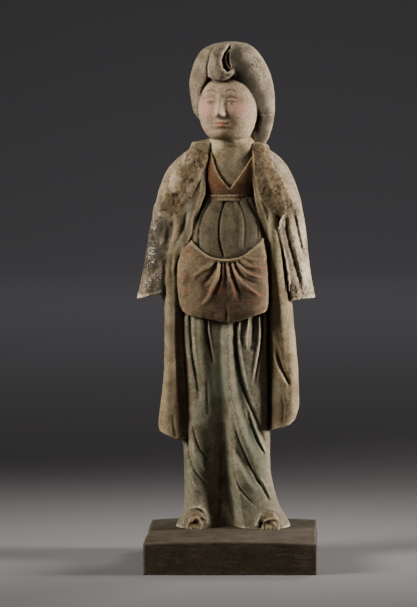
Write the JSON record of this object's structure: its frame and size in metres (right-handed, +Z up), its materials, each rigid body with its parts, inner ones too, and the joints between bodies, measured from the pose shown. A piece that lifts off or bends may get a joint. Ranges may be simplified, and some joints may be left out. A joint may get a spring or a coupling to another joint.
{
  "type": "tomb figure",
  "caption": "Painted pottery tomb figure of a standing court lady in a long robe and short jacket, on a slab plinth.",
  "frame": {"origin": "middle of the plinth's flat underside", "axes": "+Z up from the underside to the hair, -Y the way the figure faces, +X to the viewer's right"},
  "size_m": [0.1872, 0.156, 0.5385],
  "materials": {
    "slip": "matte",
    "plinth": "matte"
  },
  "bodies": {
    "root": {"figure": "slip", "plinth": "plinth"}
  },
  "joints": []
}
